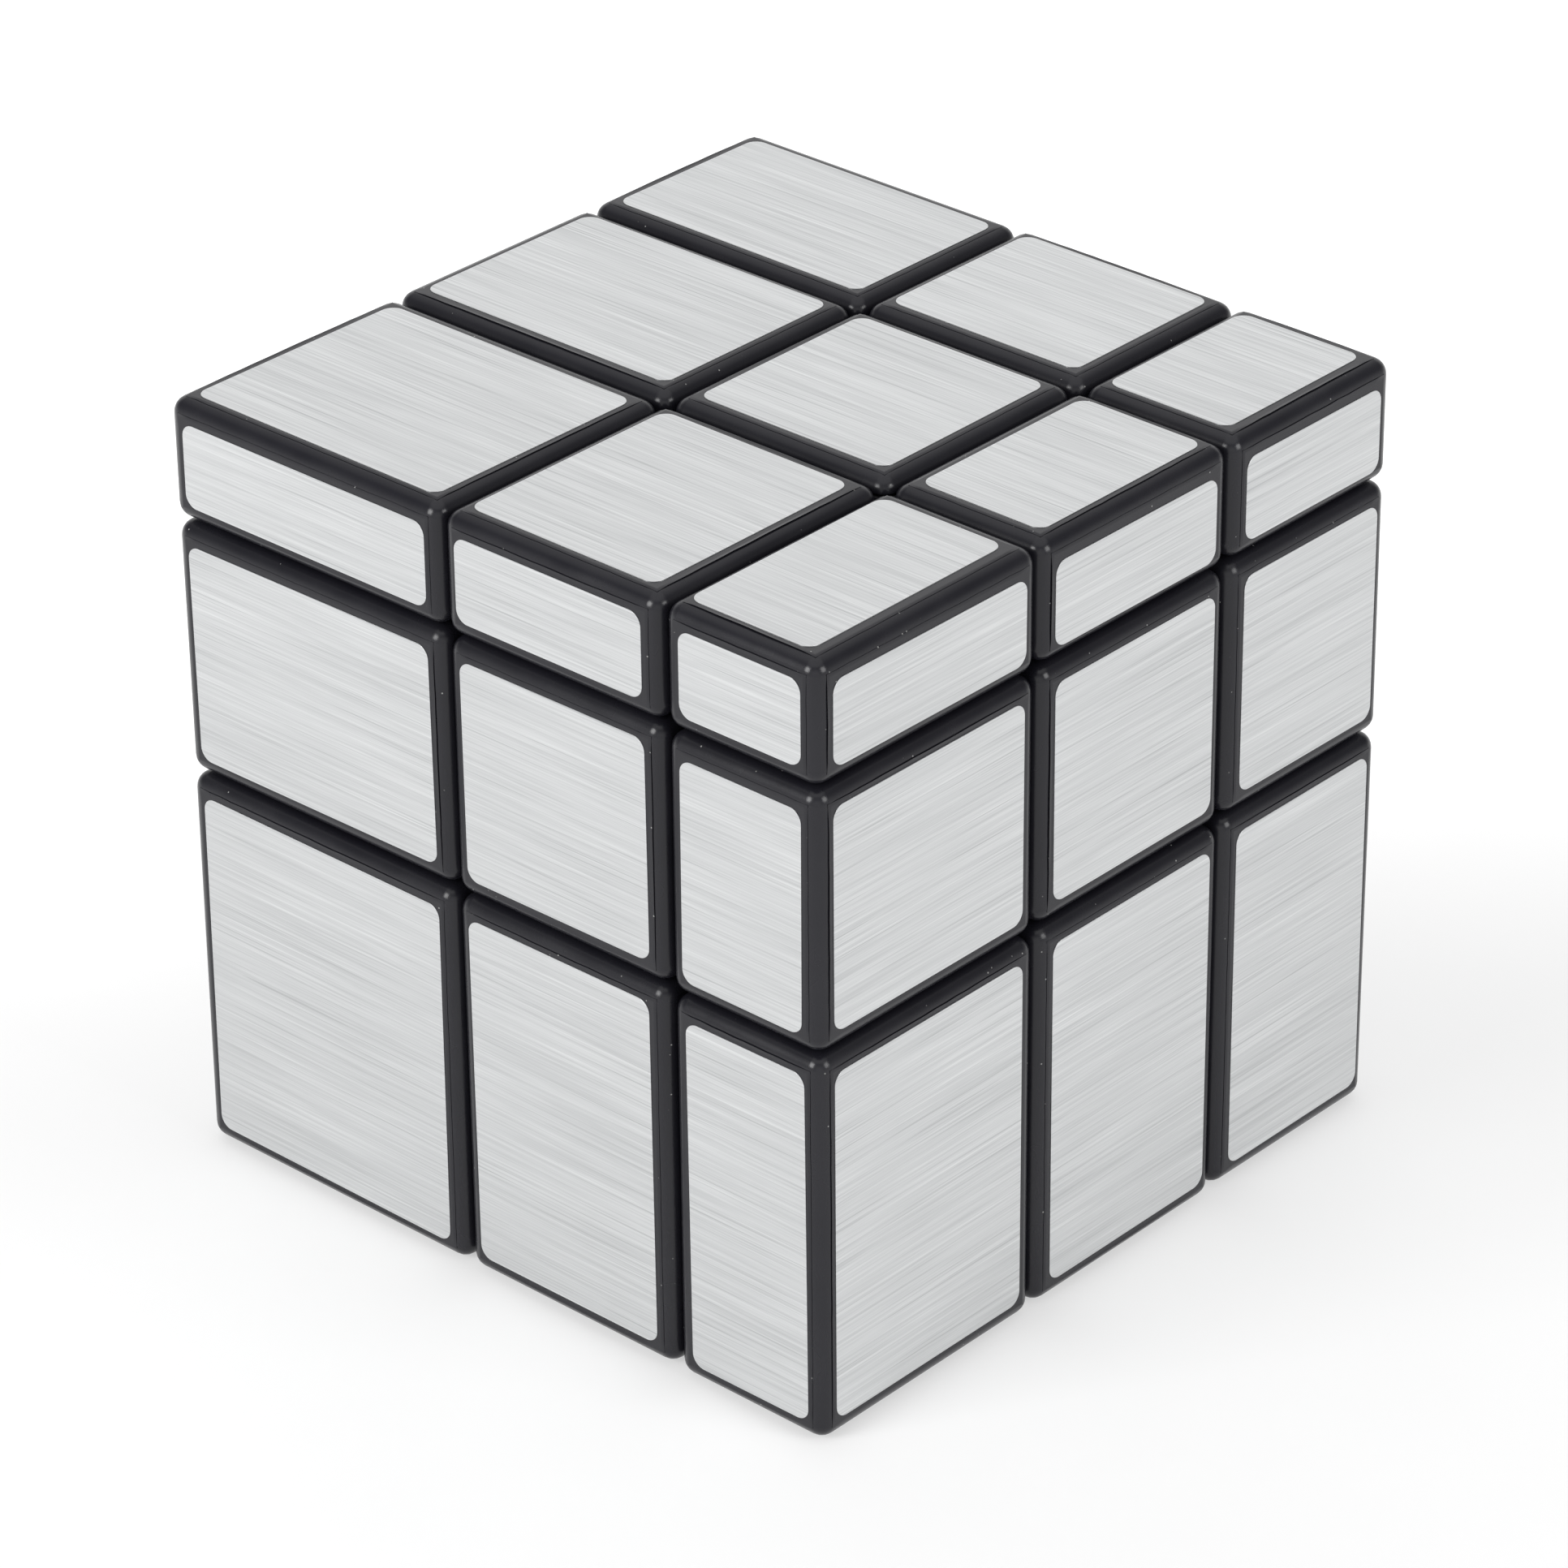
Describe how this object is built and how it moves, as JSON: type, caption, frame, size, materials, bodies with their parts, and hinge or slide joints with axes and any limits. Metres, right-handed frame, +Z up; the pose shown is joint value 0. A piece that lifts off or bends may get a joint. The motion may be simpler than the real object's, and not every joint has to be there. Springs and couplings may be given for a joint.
{
  "type": "twisty puzzle cube",
  "caption": "Twisty puzzle cube with layers of unequal thickness: black turning blocks faced with brushed silver panels, held to a hidden sprung core.",
  "frame": {"origin": "middle of the cube's lower face, where it rests", "axes": "+Z up through the thin top layer, +X out of the right face, whose layer is the second thinnest, and -Y out of the front face"},
  "size_m": [0.057, 0.057, 0.057],
  "materials": {
    "black_plastic": "satin",
    "core_plastic": "matte",
    "screw_steel": "satin",
    "spring_steel": "satin",
    "silver_foil": "brushed"
  },
  "bodies": {
    "core": {"core": "core_plastic", "spring_front": "spring_steel", "washer_front": "screw_steel", "screw_front": "screw_steel", "spring_back": "spring_steel", "washer_back": "screw_steel", "screw_back": "screw_steel", "spring_left": "spring_steel", "washer_left": "screw_steel", "screw_left": "screw_steel", "spring_right": "spring_steel", "washer_right": "screw_steel", "screw_right": "screw_steel", "spring_top": "spring_steel", "washer_top": "screw_steel", "screw_top": "screw_steel", "spring_bottom": "spring_steel", "washer_bottom": "screw_steel", "screw_bottom": "screw_steel"},
    "centre_front": {"centre_front": "black_plastic", "cap_front": "black_plastic"},
    "centre_back": {"centre_back": "black_plastic", "cap_back": "black_plastic"},
    "centre_left": {"centre_left": "black_plastic", "cap_left": "black_plastic"},
    "centre_right": {"centre_right": "black_plastic", "cap_right": "black_plastic"},
    "centre_top": {"centre_top": "black_plastic", "cap_top": "black_plastic"},
    "centre_bottom": {"centre_bottom": "black_plastic", "cap_bottom": "black_plastic"},
    "edge_front_left": {"edge_front_left": "black_plastic"},
    "edge_front_right": {"edge_front_right": "black_plastic"},
    "edge_front_top": {"edge_front_top": "black_plastic"},
    "edge_front_bottom": {"edge_front_bottom": "black_plastic"},
    "edge_back_left": {"edge_back_left": "black_plastic"},
    "edge_back_right": {"edge_back_right": "black_plastic"},
    "edge_back_top": {"edge_back_top": "black_plastic"},
    "edge_back_bottom": {"edge_back_bottom": "black_plastic"},
    "edge_left_top": {"edge_left_top": "black_plastic"},
    "edge_left_bottom": {"edge_left_bottom": "black_plastic"},
    "edge_right_top": {"edge_right_top": "black_plastic"},
    "edge_right_bottom": {"edge_right_bottom": "black_plastic"},
    "corner_front_left_top": {"corner_shell_front_left_top": "black_plastic", "corner_foot_front_left_top": "black_plastic"},
    "corner_front_left_bottom": {"corner_shell_front_left_bottom": "black_plastic", "corner_foot_front_left_bottom": "black_plastic"},
    "corner_front_right_top": {"corner_shell_front_right_top": "black_plastic", "corner_foot_front_right_top": "black_plastic"},
    "corner_front_right_bottom": {"corner_shell_front_right_bottom": "black_plastic", "corner_foot_front_right_bottom": "black_plastic"},
    "corner_back_left_top": {"corner_shell_back_left_top": "black_plastic", "corner_foot_back_left_top": "black_plastic"},
    "corner_back_left_bottom": {"corner_shell_back_left_bottom": "black_plastic", "corner_foot_back_left_bottom": "black_plastic"},
    "corner_back_right_top": {"corner_shell_back_right_top": "black_plastic", "corner_foot_back_right_top": "black_plastic"},
    "corner_back_right_bottom": {"corner_shell_back_right_bottom": "black_plastic", "corner_foot_back_right_bottom": "black_plastic"}
  },
  "joints": [
    {"name": "front_turn", "type": "hinge", "parent": "core", "child": "centre_front", "pos_m": [0.006, 0.002, 0.0385], "axis": [0, -1, 0], "continuous": true},
    {"name": "back_turn", "type": "hinge", "parent": "core", "child": "centre_back", "pos_m": [0.006, 0.002, 0.0385], "axis": [0, 1, 0], "continuous": true},
    {"name": "left_turn", "type": "hinge", "parent": "core", "child": "centre_left", "pos_m": [0.006, 0.002, 0.0385], "axis": [-1, 0, 0], "continuous": true},
    {"name": "right_turn", "type": "hinge", "parent": "core", "child": "centre_right", "pos_m": [0.006, 0.002, 0.0385], "axis": [1, 0, 0], "continuous": true},
    {"name": "top_turn", "type": "hinge", "parent": "core", "child": "centre_top", "pos_m": [0.006, 0.002, 0.0385], "axis": [0, 0, 1], "continuous": true},
    {"name": "bottom_turn", "type": "hinge", "parent": "core", "child": "centre_bottom", "pos_m": [0.006, 0.002, 0.0385], "axis": [0, 0, -1], "continuous": true},
    {"name": "edge_front_left_with_front", "type": "hinge", "parent": "centre_left", "child": "edge_front_left", "pos_m": [0.006, 0.002, 0.0385], "axis": [0, -1, 0], "continuous": true},
    {"name": "edge_front_right_with_front", "type": "hinge", "parent": "centre_right", "child": "edge_front_right", "pos_m": [0.006, 0.002, 0.0385], "axis": [0, -1, 0], "continuous": true},
    {"name": "edge_front_top_with_top", "type": "hinge", "parent": "centre_front", "child": "edge_front_top", "pos_m": [0.006, 0.002, 0.0385], "axis": [0, 0, 1], "continuous": true},
    {"name": "edge_front_bottom_with_bottom", "type": "hinge", "parent": "centre_front", "child": "edge_front_bottom", "pos_m": [0.006, 0.002, 0.0385], "axis": [0, 0, -1], "continuous": true},
    {"name": "edge_back_left_with_back", "type": "hinge", "parent": "centre_left", "child": "edge_back_left", "pos_m": [0.006, 0.002, 0.0385], "axis": [0, 1, 0], "continuous": true},
    {"name": "edge_back_right_with_back", "type": "hinge", "parent": "centre_right", "child": "edge_back_right", "pos_m": [0.006, 0.002, 0.0385], "axis": [0, 1, 0], "continuous": true},
    {"name": "edge_back_top_with_top", "type": "hinge", "parent": "centre_back", "child": "edge_back_top", "pos_m": [0.006, 0.002, 0.0385], "axis": [0, 0, 1], "continuous": true},
    {"name": "edge_back_bottom_with_bottom", "type": "hinge", "parent": "centre_back", "child": "edge_back_bottom", "pos_m": [0.006, 0.002, 0.0385], "axis": [0, 0, -1], "continuous": true},
    {"name": "edge_left_top_with_left", "type": "hinge", "parent": "centre_top", "child": "edge_left_top", "pos_m": [0.006, 0.002, 0.0385], "axis": [-1, 0, 0], "continuous": true},
    {"name": "edge_left_bottom_with_left", "type": "hinge", "parent": "centre_bottom", "child": "edge_left_bottom", "pos_m": [0.006, 0.002, 0.0385], "axis": [-1, 0, 0], "continuous": true},
    {"name": "edge_right_top_with_right", "type": "hinge", "parent": "centre_top", "child": "edge_right_top", "pos_m": [0.006, 0.002, 0.0385], "axis": [1, 0, 0], "continuous": true},
    {"name": "edge_right_bottom_with_right", "type": "hinge", "parent": "centre_bottom", "child": "edge_right_bottom", "pos_m": [0.006, 0.002, 0.0385], "axis": [1, 0, 0], "continuous": true},
    {"name": "corner_front_left_top_with_top", "type": "hinge", "parent": "edge_front_left", "child": "corner_front_left_top", "pos_m": [0.006, 0.002, 0.0385], "axis": [0, 0, 1], "continuous": true},
    {"name": "corner_front_left_bottom_with_bottom", "type": "hinge", "parent": "edge_front_left", "child": "corner_front_left_bottom", "pos_m": [0.006, 0.002, 0.0385], "axis": [0, 0, -1], "continuous": true},
    {"name": "corner_front_right_top_with_top", "type": "hinge", "parent": "edge_front_right", "child": "corner_front_right_top", "pos_m": [0.006, 0.002, 0.0385], "axis": [0, 0, 1], "continuous": true},
    {"name": "corner_front_right_bottom_with_bottom", "type": "hinge", "parent": "edge_front_right", "child": "corner_front_right_bottom", "pos_m": [0.006, 0.002, 0.0385], "axis": [0, 0, -1], "continuous": true},
    {"name": "corner_back_left_top_with_top", "type": "hinge", "parent": "edge_back_left", "child": "corner_back_left_top", "pos_m": [0.006, 0.002, 0.0385], "axis": [0, 0, 1], "continuous": true},
    {"name": "corner_back_left_bottom_with_bottom", "type": "hinge", "parent": "edge_back_left", "child": "corner_back_left_bottom", "pos_m": [0.006, 0.002, 0.0385], "axis": [0, 0, -1], "continuous": true},
    {"name": "corner_back_right_top_with_top", "type": "hinge", "parent": "edge_back_right", "child": "corner_back_right_top", "pos_m": [0.006, 0.002, 0.0385], "axis": [0, 0, 1], "continuous": true},
    {"name": "corner_back_right_bottom_with_bottom", "type": "hinge", "parent": "edge_back_right", "child": "corner_back_right_bottom", "pos_m": [0.006, 0.002, 0.0385], "axis": [0, 0, -1], "continuous": true}
  ],
  "couplings": [
    {"joint": "edge_front_left_with_front", "follows": "front_turn", "ratio": 1},
    {"joint": "edge_front_right_with_front", "follows": "front_turn", "ratio": 1},
    {"joint": "edge_front_top_with_top", "follows": "top_turn", "ratio": 1},
    {"joint": "edge_front_bottom_with_bottom", "follows": "bottom_turn", "ratio": 1},
    {"joint": "edge_back_left_with_back", "follows": "back_turn", "ratio": 1},
    {"joint": "edge_back_right_with_back", "follows": "back_turn", "ratio": 1},
    {"joint": "edge_back_top_with_top", "follows": "top_turn", "ratio": 1},
    {"joint": "edge_back_bottom_with_bottom", "follows": "bottom_turn", "ratio": 1},
    {"joint": "edge_left_top_with_left", "follows": "left_turn", "ratio": 1},
    {"joint": "edge_left_bottom_with_left", "follows": "left_turn", "ratio": 1},
    {"joint": "edge_right_top_with_right", "follows": "right_turn", "ratio": 1},
    {"joint": "edge_right_bottom_with_right", "follows": "right_turn", "ratio": 1},
    {"joint": "corner_front_left_top_with_top", "follows": "top_turn", "ratio": 1},
    {"joint": "corner_front_left_bottom_with_bottom", "follows": "bottom_turn", "ratio": 1},
    {"joint": "corner_front_right_top_with_top", "follows": "top_turn", "ratio": 1},
    {"joint": "corner_front_right_bottom_with_bottom", "follows": "bottom_turn", "ratio": 1},
    {"joint": "corner_back_left_top_with_top", "follows": "top_turn", "ratio": 1},
    {"joint": "corner_back_left_bottom_with_bottom", "follows": "bottom_turn", "ratio": 1},
    {"joint": "corner_back_right_top_with_top", "follows": "top_turn", "ratio": 1},
    {"joint": "corner_back_right_bottom_with_bottom", "follows": "bottom_turn", "ratio": 1}
  ]
}
